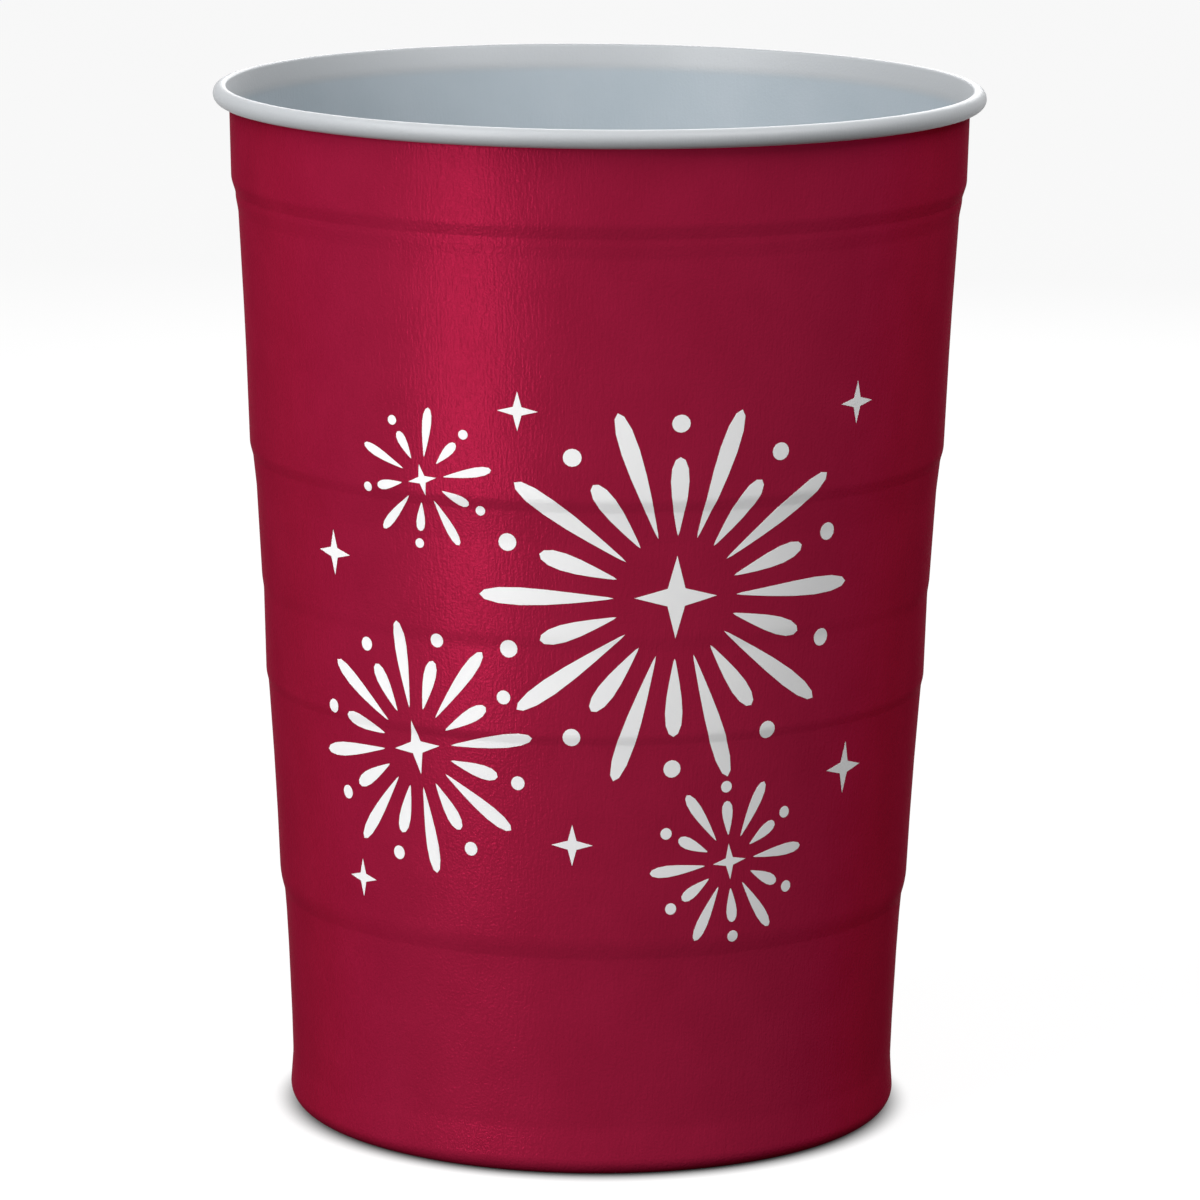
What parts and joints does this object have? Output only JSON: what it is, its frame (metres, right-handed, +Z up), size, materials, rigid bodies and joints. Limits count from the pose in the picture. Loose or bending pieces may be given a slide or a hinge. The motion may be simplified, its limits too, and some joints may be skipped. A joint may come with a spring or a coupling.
{
  "type": "steel party cup",
  "caption": "Tapered drinking cup drawn from thin steel, with a rolled rim, a collar and stepped sides; red outside, pale grey inside.",
  "frame": {"origin": "centre of the base, on the plane the cup stands on", "axes": "+Z up along the cup's axis, -Y towards the front of the print"},
  "size_m": [0.0888, 0.0888, 0.1201],
  "materials": {
    "red_enamel": "satin crimson enamel on the outside of the wall and base",
    "pale_enamel": "satin pale grey enamel on the inside and over the rolled rim",
    "white_ink": "white screen-printed ink on the front of the wall"
  },
  "bodies": {
    "root": {"cup": "red_enamel"}
  },
  "joints": []
}
